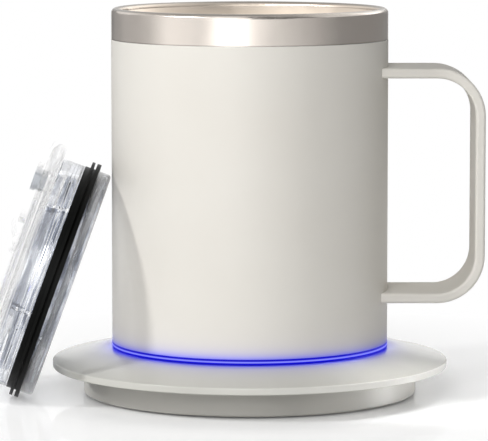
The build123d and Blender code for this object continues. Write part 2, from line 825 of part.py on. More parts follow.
heater_film = ring(stack_top, film_top, heater_radius - cup_corner / 2)
insulation_pad = ring(stack_bottom, stack_top, heater_radius)
with BuildPart() as temperature_sensor:
    with BuildSketch(Plane.XY.offset(film_top)):
        with Locations((sensor_x, 0)):
            Circle(sensor_radius)
    extrude(amount=sensor_height)

# Lid body: a clear moulding with a brim, a hollow plug and a gasket groove
gasket_bottom = gasket_top + gasket_width
with BuildPart() as lid_body:
    with BuildSketch(lid_section):
        with BuildLine():
            Polyline(
                (0, deck_height),
                (deck_radius, deck_height),
                (deck_radius + deck_height - brim_thickness, brim_thickness),
                (brim_radius, brim_thickness),
                (brim_radius, 0),
                (plug_radius, 0),
                (plug_radius, -gasket_top),
                (plug_radius - gasket_depth, -gasket_top),
                (plug_radius - gasket_depth, -gasket_bottom),
                (plug_radius, -gasket_bottom),
                (plug_radius, -plug_skirt),
                (plug_bore, -plug_skirt),
                (plug_bore, deck_height - deck_thickness),
                (0, deck_height - deck_thickness),
                close=True,
            )
        make_face()
        fillet(vertices().filter_by(lambda v: along_lid(v) > brim_radius - slip_gap), brim_round)
    revolve(axis=lid_axis)
    round_edges = lid_body.edges().filter_by(GeomType.CIRCLE)
    fillet(round_edges.filter_by(lambda edge: out_of_lid(edge) < slip_gap - plug_skirt), plug_mouth_round)
    inner_corner = lid_body.edges().filter_by(
        lambda edge: edge.geom_type == GeomType.CIRCLE
        and abs(edge.radius - plug_bore) < slip_gap
        and out_of_lid(edge) > 0
    )
    fillet(inner_corner, plug_corner_round)
    with BuildSketch(lid_section):
        with Locations((hinge_u, hinge_w)):
            Circle(ear_radius)
        with Locations((hinge_u, hinge_w - hinge_rise)):
            Rectangle(2 * ear_radius, 2 * hinge_rise)
    extrude(amount=knuckle_half_width + cap_gap + ear_width, both=True)
    with BuildSketch(lid_section):
        with Locations((hinge_u, hinge_w)):
            Circle(ear_radius + cap_gap)
    extrude(amount=knuckle_half_width + cap_gap, both=True, mode=Mode.SUBTRACT)
    with BuildSketch(lid_section):
        with Locations((hinge_u, hinge_w)):
            Circle(hinge_pin_radius)
    extrude(amount=knuckle_half_width + ear_width + overrun, both=True, mode=Mode.SUBTRACT)
    with BuildSketch(lid_plane.offset(deck_height)):
        with Locations((drink_u, 0)):
            SlotOverall(drink_width, drink_length, rotation=90)
        with Locations((vent_u, 0)):
            Circle(vent_hole_radius)
    extrude(amount=-deck_thickness - overrun, mode=Mode.SUBTRACT)
    with BuildSketch(lid_plane.offset(deck_height)):
        with Locations((vent_u, 0)):
            Circle(vent_radius)
    extrude(amount=-vent_pocket_depth, mode=Mode.SUBTRACT)

with BuildPart() as vent_plug:
    with BuildSketch(lid_plane.offset(deck_height - vent_pocket_depth)):
        with Locations((vent_u, 0)):
            Circle(vent_radius - slip_gap)
            Circle(vent_hole_radius, mode=Mode.SUBTRACT)
    extrude(amount=vent_plug_height)
    fillet(vent_plug.edges().filter_by(GeomType.CIRCLE).sort_by(lid_axis)[-1], edge_round)

# Gasket: a black band in the groove of the plug, with two wiper fins
fin_base = plug_radius - edge_round
with BuildPart() as lid_gasket:
    with BuildSketch(lid_section):
        with BuildLine():
            Polyline(
                (plug_radius - gasket_depth, -gasket_top),
                (plug_radius, -gasket_top),
                (plug_radius, -gasket_bottom),
                (plug_radius - gasket_depth, -gasket_bottom),
                close=True,
            )
        make_face()
        with BuildLine():
            Polyline(
                (fin_base, -gasket_top - thin_fin_drop),
                (fin_radius, -gasket_top - thin_fin_drop),
                (fin_radius, -gasket_top - thin_fin_drop - thin_fin),
                (fin_base, -gasket_top - thin_fin_drop - thin_fin),
                close=True,
            )
        make_face()
        with BuildLine():
            Polyline(
                (fin_base, -gasket_bottom + thick_fin),
                (fin_radius, -gasket_bottom + thick_fin),
                (fin_radius, -gasket_bottom),
                (fin_base, -gasket_bottom),
                close=True,
            )
        make_face()
    revolve(axis=lid_axis)

with BuildPart() as hinge_pin:
    with BuildSketch(lid_section):
        with Locations((hinge_u, hinge_w)):
            Circle(hinge_pin_radius)
    extrude(amount=knuckle_half_width + cap_gap + ear_width, both=True)

# Flip cap: a hollow clear flap over the drink opening, with a knuckle on the hinge pin
cap_floor = deck_height + cap_gap
cap_top = deck_height + cap_crown
cap_back = hinge_u + ear_radius + cap_gap
cap_slope_u_shares = (0.0, 0.1, 0.185)
cap_slope_w_shares = (0.42, 0.78, 1.0)
cap_nose_u_shares = (0.83, 0.9)
cap_nose_w_shares = (0.96, 0.5)
cap_run = cap_tip_u - cap_back
cap_rise = cap_top - cap_floor
with BuildPart() as flip_cap:
    with BuildSketch(lid_section):
        with BuildLine():
            slope = [
                (cap_back + u_share * cap_run, cap_floor + w_share * cap_rise)
                for u_share, w_share in zip(cap_slope_u_shares, cap_slope_w_shares)
            ]
            nose = [
                (cap_back + u_share * cap_run, cap_floor + w_share * cap_rise)
                for u_share, w_share in zip(cap_nose_u_shares, cap_nose_w_shares)
            ]
            Polyline(
                (cap_back, cap_floor),
                *slope,
                *nose,
                (cap_tip_u, cap_floor + cap_tip_height),
                (cap_tip_u, cap_floor),
                close=True,
            )
        make_face()
    extrude(amount=cap_width / 2, both=True)
    with BuildSketch(lid_plane.offset(cap_floor)):
        with Locations((cap_back + cap_run / 2, 0)):
            Rectangle(cap_run, cap_width)
        fillet(vertices().filter_by(lambda v: along_lid(v) > cap_tip_u / 2), cap_corner)
    extrude(amount=cap_rise, mode=Mode.INTERSECT)
    with BuildSketch(lid_section):
        with Locations((hinge_u, hinge_w)):
            Circle(knuckle_radius)
        with Locations((hinge_u + cap_back / 2 - hinge_u / 2 + cap_gap, hinge_w + knuckle_radius / 2)):
            Rectangle(cap_back - hinge_u + 2 * cap_gap, knuckle_radius)
    extrude(amount=knuckle_half_width, both=True)
    with BuildSketch(lid_section):
        with Locations((hinge_u, hinge_w)):
            Circle(hinge_pin_radius + hinge_bore_gap)
    extrude(amount=knuckle_half_width + overrun, both=True, mode=Mode.SUBTRACT)
    pocket_start = slope[-1][0]
    pocket_end = nose[0][0]
    with BuildSketch(lid_plane.offset(cap_floor)):
        with Locations(((pocket_start + pocket_end) / 2, 0)):
            RectangleRounded(pocket_end - pocket_start, cap_width - 2 * cap_wall, cap_corner - cap_wall)
    extrude(amount=cap_rise - cap_wall, mode=Mode.SUBTRACT)

# Silicone seal under the flip cap: a flange on its ceiling and a tapered plug in the opening
seal_ceiling = cap_top - cap_wall
with BuildPart() as cap_seal:
    with BuildSketch(lid_plane.offset(seal_ceiling)):
        with Locations((drink_u, 0)):
            SlotOverall(drink_width, drink_length, rotation=90)
    extrude(amount=-seal_flange)
    with BuildSketch(lid_plane.offset(seal_ceiling - seal_flange)):
        with Locations((drink_u, 0)):
            SlotOverall(drink_width - 2 * seal_plug_gap, drink_length - 2 * seal_plug_gap, rotation=90)
    extrude(amount=deck_height - seal_plug_depth - seal_ceiling + seal_flange)

pieces = {
    "coaster_top": coaster_top,
    "coaster_base": coaster_base,
    "coaster_foot_pad": foot_pad,
    "coaster_screws": coaster_screws,
    "charging_board": charging_board,
    "charging_chips": charging_chips,
    "power_inlet": power_inlet,
    "pin_block": pin_block,
    "contact_pin_centre": contact_pin_centre,
    "contact_pin_ring": contact_pin_ring,
    "centre_pin_spring": centre_pin_spring,
    "ring_pin_spring": ring_pin_spring,
    "outer_shell": outer_shell,
    "inner_cup": inner_cup,
    "handle": handle,
    "light_ring": light_ring,
    "base_cover": base_cover,
    "base_seal": base_seal,
    "mug_foot_ring": foot_ring,
    "centre_contact": centre_contact,
    "ring_contact": ring_contact,
    "base_screws": base_screws,
    "power_button": power_button,
    "button_dome": button_dome,
    "led_board": led_board,
    "leds": leds,
    "battery_holder": battery_holder,
    "battery_cell_left": battery_cell_left,
    "battery_cell_right": battery_cell_right,
    "cell_straps": cell_straps,
    "control_board": control_board,
    "control_chips": control_chips,
    "heater_plate": heater_plate,
    "heater_film": heater_film,
    "insulation_pad": insulation_pad,
    "temperature_sensor": temperature_sensor,
    "lid_body": lid_body,
    "lid_gasket": lid_gasket,
    "vent_plug": vent_plug,
    "hinge_pin": hinge_pin,
    "flip_cap": flip_cap,
    "cap_seal": cap_seal,
}

os.makedirs("parts", exist_ok=True)
for label, piece in pieces.items():
    piece.part.label = label
    export_step(piece.part, f"parts/{label}.step")
print("lid centre", lid_centre, "rim top", rim_top, "cup floor", cup_floor)
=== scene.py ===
"""The looks of a self heating mug on its coaster, with its clear lid leaning beside it.

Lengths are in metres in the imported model's frame, where the mug's axis is the z axis. The lid's own
outline is in millimetres, in a frame that leans with the lid.
"""

import math

import bmesh
import bpy
from mathutils import Euler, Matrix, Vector


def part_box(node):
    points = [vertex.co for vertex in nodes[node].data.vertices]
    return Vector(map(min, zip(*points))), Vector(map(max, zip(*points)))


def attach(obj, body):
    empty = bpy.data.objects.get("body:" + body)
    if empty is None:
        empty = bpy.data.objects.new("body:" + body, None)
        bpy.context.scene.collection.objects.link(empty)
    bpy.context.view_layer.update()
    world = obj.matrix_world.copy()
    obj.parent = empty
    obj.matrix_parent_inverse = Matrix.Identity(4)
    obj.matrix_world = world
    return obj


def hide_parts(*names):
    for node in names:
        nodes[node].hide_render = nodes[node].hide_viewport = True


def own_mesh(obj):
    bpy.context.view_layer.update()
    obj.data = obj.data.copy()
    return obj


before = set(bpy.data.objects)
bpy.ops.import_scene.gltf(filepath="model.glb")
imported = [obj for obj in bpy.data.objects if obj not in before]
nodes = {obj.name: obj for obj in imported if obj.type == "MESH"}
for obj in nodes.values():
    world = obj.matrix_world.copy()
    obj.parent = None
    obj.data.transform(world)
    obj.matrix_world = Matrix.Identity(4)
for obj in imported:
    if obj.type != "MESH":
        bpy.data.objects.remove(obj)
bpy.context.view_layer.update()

MM = 0.001
WHITE = (1.0, 1.0, 1.0, 1.0)
# Colour and strength of the ring's glow that is painted on its neighbours
GLOW_BLUE = (0.03, 0.03, 1.0, 1.0)
PAINTED_GLOW_STRENGTH = 0.07

# Where the main shapes are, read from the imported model
shell_low, shell_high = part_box("outer_shell")
mug_radius = shell_high.x
disc_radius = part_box("coaster_top")[1].x
ring_bottom, ring_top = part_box("light_ring")[0].z, shell_low.z
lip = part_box("inner_cup")[1].z
paint_line = lip - 10.13 * MM
cup_wall = mug_radius - 5.2 * MM

# The lid's own frame, as in part.py: its centre, the way up its slope and the way out of its top
lid_lean = math.radians(20)
lid_centre = Vector((-72.9904, -8.0, 41.7389))
lid_up = Vector((math.sin(lid_lean), 0, math.cos(lid_lean)))
lid_out = Vector((-math.cos(lid_lean), 0, math.sin(lid_lean)))
lid_side = Vector((0, 1, 0))

# The lid's hinge and vent, as (up, out) and (up, side), and the ribs inside its wall
HINGE = (6.6, 5.3)
VENT = (-20.5, 0.0)
RIBS = 6
RIB_FOOT, RIB_RISE, RIB_DEPTH = -10.4, 9.0, 2.2


def srgb(red, green, blue):
    """A colour given in 0 to 255 display values, as linear light."""
    def linear(value):
        share = value / 255
        return share / 12.92 if share <= 0.04045 else ((share + 0.055) / 1.055) ** 2.4

    return linear(red), linear(green), linear(blue), 1.0


def grey(level):
    """A grey given as linear light."""
    return level, level, level, 1.0


class Nodes:
    """A small helper that builds the nodes of a material or of the world."""

    def __init__(self, owner, output):
        owner.use_nodes = True
        self.tree = owner.node_tree
        self.tree.nodes.clear()
        self.output = self.node(output)

    def node(self, kind, **values):
        """Adds a node. Each value goes to its property or to its input socket of that name."""
        made = self.tree.nodes.new("ShaderNode" + kind)
        for key, value in values.items():
            if hasattr(made, key) and key not in made.inputs:
                setattr(made, key, value)
            else:
                made.inputs[key.replace("_", " ")].default_value = value
        return made

    def link(self, source, target):
        self.tree.links.new(source, target)

    def feed(self, made, **sources):
        """Links sources to a node's input sockets of those names."""
        for key, source in sources.items():
            self.link(source, made.inputs[key.replace("_", " ")])

    def fill(self, socket, value):
        """Gives a socket its value, or links what feeds it."""
        if isinstance(value, (int, float, tuple)):
            socket.default_value = value
        else:
            self.link(value, socket)

    def show(self, made):
        """Makes a shader the one that shows."""
        self.link(made.outputs[0], self.output.inputs["Surface"])

    def spread(self, source, low, high, from_low=0.3, from_high=0.7):
        """Maps a number from one range to another, and holds it at the ends."""
        made = self.node("MapRange", From_Min=from_low, From_Max=from_high, To_Min=low, To_Max=high)
        self.feed(made, Value=source)
        return made.outputs["Result"]

    def math(self, operation, first, second=0.0):
        """Works out a number. Both numbers may be values or sockets."""
        made = self.node("Math", operation=operation)
        self.fill(made.inputs[0], first)
        self.fill(made.inputs[1], second)
        return made.outputs["Value"]

    def mix_shaders(self, share, first, second):
        """Mixes two shaders. share may be a value or a socket."""
        made = self.node("MixShader")
        self.fill(made.inputs["Fac"], share)
        self.link(first.outputs[0], made.inputs[1])
        self.link(second.outputs[0], made.inputs[2])
        return made

    def seen_rays(self):
        """1 for rays that show a surface directly, in a reflection or through glass, and else 0."""
        rays = self.node("LightPath")
        total = rays.outputs["Is Camera Ray"]
        for name in ("Is Glossy Ray", "Is Transmission Ray"):
            total = self.math("MAXIMUM", total, rays.outputs[name])
        return total


class Shader(Nodes):
    """The nodes of one material."""

    def __init__(self, name):
        self.material = bpy.data.materials.new(name)
        super().__init__(self.material, "OutputMaterial")

    def surface(self, **values):
        """A principled surface, shown unless another shader is."""
        made = self.node("BsdfPrincipled", **values)
        self.show(made)
        return made

    def point(self):
        """The point that is shaded, in the model's frame."""
        return self.node("TexCoord").outputs["Object"]

    def noise(self, scale, detail=4.0, stretch=(1, 1, 1)):
        """Noise with about scale waves to a metre."""
        mapping = self.node("Mapping", Scale=stretch)
        self.feed(mapping, Vector=self.point())
        made = self.node("TexNoise", Scale=scale, Detail=detail)
        self.feed(made, Vector=mapping.outputs["Vector"])
        return made.outputs["Fac"]

    def ramp(self, source, stops):
        """Maps a number to a colour. stops are (position, colour) pairs."""
        made = self.node("ValToRGB")
        while len(made.color_ramp.elements) < len(stops):
            made.color_ramp.elements.new(0.5)
        for element, (position, colour) in zip(made.color_ramp.elements, stops):
            element.position = position
            element.color = colour
        self.feed(made, Fac=source)
        return made.outputs["Color"]

    def tones(self, scale, detail, dark, light):
        """Two near tones that wander over the surface."""
        return self.ramp(self.noise(scale, detail), [(0.3, dark), (0.7, light)])

    def blend(self, share, first, second):
        """Mixes two colours. Each of the three may be a value or a socket."""
        made = self.node("Mix", data_type="RGBA")
        for index, value in ((0, share), (6, first), (7, second)):
            self.fill(made.inputs[index], value)
        return made.outputs[2]

    def bump(self, height, distance, strength=1.0, normal=None):
        """Relief from a number, on top of the relief of normal where that is given."""
        made = self.node("Bump", Distance=distance, Strength=strength)
        self.feed(made, Height=height)
        if normal is not None:
            self.feed(made, Normal=normal)
        return made.outputs["Normal"]

    def vector(self, operation, first, second, result):
        """One output of a vector operation on a socket and a fixed vector."""
        made = self.node("VectorMath", operation=operation)
        self.link(first, made.inputs[0])
        made.inputs[1].default_value = second
        return made.outputs[result]

    def axis(self, name):
        """One coordinate of the point, in metres."""
        split = self.node("SeparateXYZ")
        self.feed(split, Vector=self.point())
        return split.outputs[name]

    def along(self, direction, start):
        """Distance in metres from a point given in millimetres, along a direction."""
        reach = self.vector("DOT_PRODUCT", self.point(), direction, "Value")
        return self.math("SUBTRACT", reach, direction.dot(start) * MM)

    def radius(self):
        """Distance from the mug's axis, in metres."""
        flat = self.vector("MULTIPLY", self.point(), (1, 1, 0), "Vector")
        return self.vector("LENGTH", flat, (0, 0, 0), "Value")


def in_lid(up, side, out):
    """A point in metres from millimetres in the lid's frame."""
    return (lid_centre + lid_up * up + lid_side * side + lid_out * out) * MM


def across_lid(up, out, side):
    """The same, for an outline that is drawn across the lid."""
    return in_lid(up, side, out)


def arc(centre, radius, start, end, steps=5):
    """Points on an arc, in degrees."""
    points = []
    for step in range(steps + 1):
        angle = math.radians(start + (end - start) * step / steps)
        points.append((centre[0] + radius * math.cos(angle), centre[1] + radius * math.sin(angle)))
    return points


def circle(radius, centre, steps=48):
    """Points round a circle."""
    turns = [math.tau * step / steps for step in range(steps)]
    return [(centre[0] + radius * math.cos(t), centre[1] + radius * math.sin(t)) for t in turns]


def add_mesh(name, points, faces):
    """Adds a mesh object to the scene."""
    mesh = bpy.data.meshes.new(name)
    mesh.from_pydata(points, [], faces)
    mesh.validate()
    made = bpy.data.objects.new(name, mesh)
    bpy.context.scene.collection.objects.link(made)
    return made


def lathe(name, columns, sections):
    """Turns sections, one for each angle, about the lid's axis.

    The first and last points of each lie on the axis.
    """
    points = [in_lid(0, 0, sections[0][0][1]), in_lid(0, 0, sections[0][-1][1])]
    faces = []
    inner = len(sections[0]) - 2
    for angle, section in zip(columns, sections):
        points += [in_lid(r * math.cos(angle), r * math.sin(angle), w) for r, w in section[1:-1]]
    for index in range(len(columns)):
        here, beyond = 2 + index * inner, 2 + (index + 1) % len(columns) * inner
        faces.append((0, here, beyond))
        for row in range(inner - 1):
            faces.append((here + row, here + row + 1, beyond + row + 1, beyond + row))
        faces.append((1, beyond + inner - 1, here + inner - 1))
    return add_mesh(name, points, faces)


def prism(name, outline, near, far, place):
    """A closed prism of an outline. place turns (x, y, height) into a point in metres."""
    count = len(outline)
    points = [place(x, y, height) for height in (near, far) for x, y in outline]
    faces = [tuple(range(count)), tuple(reversed(range(count, 2 * count)))]
    for index in range(count):
        beyond = (index + 1) % count
        faces.append((index, count + index, count + beyond, beyond))
    return add_mesh(name, points, faces)


def cut_or_join(piece, tool, operation):
    """Applies a boolean with another piece, and removes that piece."""
    bpy.context.view_layer.update()
    change = piece.modifiers.new("boolean", "BOOLEAN")
    change.operation = operation
    change.solver = "EXACT"
    change.object = tool
    graph = bpy.context.evaluated_depsgraph_get()
    mesh = bpy.data.meshes.new_from_object(piece.evaluated_get(graph))
    piece.modifiers.clear()
    piece.data = mesh
    bpy.data.objects.remove(tool)


def turned_right_way(piece):
    """Makes all faces of a closed mesh look outwards."""
    sheet = bmesh.new()
    sheet.from_mesh(piece.data)
    bmesh.ops.recalc_face_normals(sheet, faces=sheet.faces)
    sheet.to_mesh(piece.data)
    sheet.free()


def lid_sections():
    """The lid's section between two ribs and through a rib, in (radius, out) from axis to axis."""
    outside = [(0, 4.6), (21.0, 4.6), (21.3, 4.35), (22.2, 4.35), (22.5, 4.6), (39.9, 4.6)]
    outside += arc((40.172, 4.05), 0.55, 90, 45, 3)
    outside += arc((41.0, 2.6), 1.2, 79.4, 0) + arc((41.0, 1.2), 1.2, 0, -90)
    outside += [(38.3, 0.0), (38.0, -0.3), (38.0, -7.3), (36.5, -7.3), (36.5, -12.0), (38.0, -12.0)]
    outside += arc((36.8, -15.0), 1.2, 0, -90)
    # Up the inside of the wall, over its ledges
    wall = arc((36.0, -15.0), 1.2, 270, 180)
    wall += [(34.8, -11.9), (34.7, -11.6), (34.3, -11.3), (34.2, -11.0), (34.2, -7.2), (34.1, -6.9)]
    wall += [(33.6, -6.5), (33.5, -6.2), (33.45, -5.2), (33.0, -4.9), (33.0, -4.3), (33.4, -4.0)]
    wall += [(33.4, -3.0), (33.3, -2.7), (32.7, -2.2), (32.6, -1.9)]
    wall += arc((30.1, -0.3), 2.5, 0, 90, 8)
    # Inwards under the deck, over its two rings
    deck = 2.2
    below = []
    for radius, depth, width in ((26.8, 1.5, 1.4), (16.4, 1.0, 1.0)):
        low, high = radius - width / 2, radius + width / 2
        below += [(high + 0.2, deck), (high, 2.0), (high - 0.1, 2.4 - depth), (high - 0.3, deck - depth)]
        below += [(low + 0.3, deck - depth), (low + 0.1, 2.4 - depth), (low, 2.0), (low - 0.2, deck)]
    below.append((0, deck))
    plain = outside + wall + below
    ribbed = list(plain)
    for index in range(len(outside), len(outside) + len(wall)):
        r, w = plain[index]
        if w > RIB_FOOT:
            ribbed[index] = (r - RIB_DEPTH * min(1.0, (w - RIB_FOOT) / RIB_RISE), w)
    return plain, ribbed


def lid_columns(plain, ribbed):
    """The angles at which the lathed lid has a column, and the section of each."""
    half_rib = 0.6 / 34  # half a rib's width, in radians
    rib_edge = 1.12  # where the wall is plain again, in half ribs from the rib's middle
    first_rib = 0.27  # where the first rib is, as a share of the way to the next
    steps_between = 26
    columns, sections = [], []
    for rib in range(RIBS):
        middle = (rib + first_rib) * math.tau / RIBS
        ridge = [(-1.0, ribbed), (0.0, ribbed), (1.0, ribbed)]
        for offset, section in [(-rib_edge, plain), *ridge, (rib_edge, plain)]:
            columns.append(middle + offset * half_rib)
            sections.append(section)
        start = middle + rib_edge * half_rib
        span = math.tau / RIBS - 2 * rib_edge * half_rib
        for step in range(1, steps_between):
            columns.append(start + span * step / steps_between)
            sections.append(plain)
    return columns, sections


def make_lid():
    """The clear lid: outside as in the CAD, and inside it the moulded ledges, rings and ribs."""
    lid = lathe("lid_shell", *lid_columns(*lid_sections()))
    turned_right_way(lid)
    ear = arc(HINGE, 1.7, 0, 180, 16) + [(4.9, 3.9), (8.3, 3.9)]
    drinking_slot = arc((29.0, 3.5), 3.5, 0, 180, 16) + arc((29.0, -3.5), 3.5, 180, 360, 16)
    for operation, outline, near, far, place in [
        ("UNION", ear, 9.9, 12.9, across_lid),
        ("UNION", ear, -12.9, -9.9, across_lid),
        ("DIFFERENCE", circle(2.0, HINGE), -9.9, 9.9, across_lid),
        ("DIFFERENCE", circle(0.8, HINGE), -13.5, 13.5, across_lid),
        ("DIFFERENCE", drinking_slot, 1.5, 5.5, in_lid),
        ("DIFFERENCE", circle(6.6, VENT), 3.4, 5.5, in_lid),
        ("DIFFERENCE", circle(1.2, VENT), 0.5, 5.5, in_lid),
    ]:
        tool = prism("tool", outline, near, far, place)
        turned_right_way(tool)
        cut_or_join(lid, tool, operation)
    lid.data.shade_smooth()
    lid.data.set_sharp_from_angle(angle=math.radians(32))
    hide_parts("lid_body")
    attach(lid, "lid")
    return lid


def squeezed(node, body):
    """A copy of a CAD spring or dome, hung on a body in place of the CAD node."""
    piece = bpy.data.objects.new(f"{node}_squeezed", nodes[node].data.copy())
    bpy.context.scene.collection.objects.link(piece)
    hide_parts(node)
    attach(piece, body)
    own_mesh(piece)


def paint_ring_glow(shader, surface, colour, distance, reach, strength, tint):
    """Paints the lit ring's glow on what is close to it, as a blue colour and a little emission."""
    fall = shader.math("MULTIPLY", shader.math("MAXIMUM", distance, 0.0), -1 / reach)
    share = shader.math("MULTIPLY", shader.math("POWER", math.e, fall), strength)
    surface.inputs["Emission Color"].default_value = GLOW_BLUE
    glow = shader.math("MULTIPLY", share, PAINTED_GLOW_STRENGTH)
    shader.feed(surface, Base_Color=shader.blend(share, colour, tint), Emission_Strength=glow)


def powder_coat(name, with_painted_light, gloss):
    """Warm light grey powder coat with a fine orange peel."""
    shader = Shader(name)
    surface = shader.surface(IOR=1.5, Specular_IOR_Level=gloss)
    colour = shader.tones(14, 3, srgb(222, 218, 210), srgb(227, 224, 217))
    if with_painted_light:
        # The ring's glow painted on the coat just above the mug's foot, in colour and emission
        above = shader.math("SUBTRACT", shader.axis("Z"), ring_top)
        tint = (0.2, 0.2, 0.88, 1)
        paint_ring_glow(shader, surface, colour, above, reach=1.4 * MM, strength=0.95, tint=tint)
    else:
        shader.feed(surface, Base_Color=colour)
    peel = shader.bump(shader.noise(2600, 2), 0.02 * MM, 0.5)
    shader.feed(surface, Roughness=shader.spread(shader.noise(60), 0.42, 0.5), Normal=peel)
    return shader.material


def coaster_plastic(name, dark, light, roughness, with_painted_light):
    """Satin moulded plastic of the coaster.

    On the disc, the ring's glow round the mug's foot is painted, and a painted highlight makes its edge
    paler to the right.
    """
    shader = Shader(name)
    surface = shader.surface(IOR=1.48)
    colour = shader.tones(20, 3, dark, light)
    if with_painted_light:
        # A painted highlight: the disc's edge is paler towards its right
        edge = shader.spread(shader.radius(), 0.0, 1.0, disc_radius - 0.4 * MM, disc_radius - 0.15 * MM)
        right = shader.spread(shader.axis("X"), 0.0, 1.0, -20 * MM, 60 * MM)
        colour = shader.blend(shader.math("MULTIPLY", edge, right), colour, srgb(232, 231, 225))
        # The ring's glow painted on the disc round the mug's foot
        out = shader.math("ABSOLUTE", shader.math("SUBTRACT", shader.radius(), mug_radius))
        tint = (0.2, 0.21, 0.9, 1)
        paint_ring_glow(shader, surface, colour, out, reach=2.9 * MM, strength=0.97, tint=tint)
    else:
        shader.feed(surface, Base_Color=colour)
    sheen = shader.spread(shader.noise(80), roughness, roughness + 0.06)
    shader.feed(surface, Roughness=sheen, Normal=shader.bump(shader.noise(3200, 2), 0.012 * MM, 0.5))
    return shader.material


def satin_steel(name):
    """Brushed stainless steel with faint turning lines.

    It is warmer in the cup's flared mouth, and paler and matte in its bore. Painted shade darkens
    the seam over the paint's edge and the crest of the lip.
    """
    shader = Shader(name)
    surface = shader.surface(Metallic=1.0, Anisotropic=0.6)
    tangent = shader.node("Tangent", direction_type="RADIAL", axis="Z")
    height = shader.axis("Z")
    inside = shader.spread(shader.radius(), 1.0, 0.0, cup_wall, mug_radius - 0.2 * MM)
    bore = shader.spread(height, 1.0, 0.0, lip - 6.5 * MM, lip - 5.5 * MM)
    # Painted shade just above the paint's edge and along the crest of the lip
    seam = shader.spread(height, 0.6, 0.0, paint_line + 0.1 * MM, paint_line + 0.45 * MM)
    crest = shader.spread(height, 0.0, 0.8, lip - 0.75 * MM, lip - 0.3 * MM)
    outer = shader.tones(30, 4, srgb(219, 210, 201), srgb(226, 218, 210))
    inner = shader.blend(bore, srgb(216, 200, 181), srgb(246, 243, 238))
    both = shader.blend(inside, outer, inner)
    colour = shader.blend(shader.math("MAXIMUM", seam, crest), both, srgb(120, 116, 110))
    polish = shader.spread(shader.noise(200), 0.18, 0.24)
    matte = shader.math("MULTIPLY", inside, shader.spread(bore, 0.22, 0.62, 0.0, 1.0))
    grain = shader.bump(shader.noise(3000, 2), 0.008 * MM, 0.4)
    lines = shader.bump(shader.noise(900, 2, (0.02, 0.02, 6)), 0.004 * MM, 0.4, grain)
    shader.feed(
        surface, Base_Color=colour, Roughness=shader.math("ADD", polish, matte), Normal=lines,
        Tangent=tangent.outputs["Tangent"],
    )
    return shader.material


def lit_ring(name):
    """The frosted light guide: bright inside, deep blue where it meets its neighbours."""
    shader = Shader(name)
    surface = shader.surface(
        Roughness=0.4, Specular_IOR_Level=0.1, Base_Color=(0.004, 0.004, 0.02, 1), Emission_Strength=1.0,
    )
    height = shader.math("SUBTRACT", shader.axis("Z"), ring_bottom)
    share = shader.math("DIVIDE", height, ring_top - ring_bottom)
    deep = (0.001, 0.001, 0.58, 1)
    bright = (0.23, 0.24, 1.0, 1)
    stops = [(0.0, deep), (0.25, deep), (0.36, bright), (0.55, bright), (0.66, deep)]
    shader.feed(surface, Emission_Color=shader.ramp(share, stops))
    return shader.material


def painted_reflection_streaks(shader):
    """Noise in the lid's own frame, drawn out along the turn of its wall, for painted reflections."""
    place = shader.node("CombineXYZ")
    for index, (direction, waves) in enumerate(((lid_up, 60), (lid_side, 60), (lid_out, 330))):
        distance = shader.along(direction, lid_centre)
        shader.link(shader.math("MULTIPLY", distance, waves), place.inputs[index])
    made = shader.node("TexNoise", Scale=1.0, Detail=2.0)
    shader.feed(made, Vector=place.outputs["Vector"])
    return made.outputs["Fac"]


def clear_plastic(name, solid, deep, pale=None):
    """Clear gloss moulding. Light from the lamps passes it unbent, so its shadow is pale.

    solid is how strongly it shows, deep is its tint edge-on, darker there as a painted reflection, and
    pale its tint face-on. Without pale, it has painted reflections of dark and light face-on.
    """
    shader = Shader(name)
    surface = shader.surface(Roughness=0.01, IOR=1.46, Alpha=solid, Transmission_Weight=1.0)
    if pale is None:
        # Painted reflections in bands of dark and light face-on
        dark, middle, light = (0.15, 0.165, 0.21, 1), (0.5, 0.53, 0.6, 1), (0.96, 0.97, 0.99, 1)
        pale = shader.ramp(painted_reflection_streaks(shader), [(0.41, dark), (0.48, middle), (0.57, light)])
    # Painted reflection: darker where the plastic is seen edge-on
    edge = shader.node("LayerWeight", Blend=0.35).outputs["Facing"]
    uneven = shader.math("MULTIPLY", edge, shader.spread(shader.noise(55, 2), 0.75, 1.0, 0.4, 0.6))
    ripple = shader.bump(shader.noise(40, 2), 0.05 * MM, 0.15)
    shader.feed(surface, Base_Color=shader.blend(uneven, pale, deep), Normal=ripple)
    shadow = shader.node("LightPath").outputs["Is Shadow Ray"]
    passing = shader.node("BsdfTransparent", Color=(0.34, 0.35, 0.37, 1))
    shader.show(shader.mix_shaders(shadow, surface, passing))
    return shader.material


def matte_plastic(name, dark, light, roughness, grain, gloss=0.5):
    """Matte rubber, silicone or moulded plastic. grain is how fine its texture is."""
    shader = Shader(name)
    surface = shader.surface(IOR=1.45, Specular_IOR_Level=gloss)
    shader.feed(
        surface,
        Base_Color=shader.tones(120, 4, dark, light),
        Roughness=shader.spread(shader.noise(260), roughness - 0.05, roughness + 0.07),
        Normal=shader.bump(shader.noise(grain, 3), 0.02 * MM, 0.6),
    )
    return shader.material


def plain_metal(name, dark, light, roughness):
    """Machined or plated metal."""
    shader = Shader(name)
    surface = shader.surface(Metallic=1.0)
    shader.feed(
        surface,
        Base_Color=shader.tones(300, 4, dark, light),
        Roughness=shader.spread(shader.noise(600), roughness - 0.05, roughness + 0.08),
        Normal=shader.bump(shader.noise(2500, 2), 0.006 * MM, 0.6),
    )
    return shader.material


def dress(material, *names):
    """Gives CAD nodes a material."""
    for name in names:
        mesh = nodes[name].data
        mesh.materials.clear()
        mesh.materials.append(material)


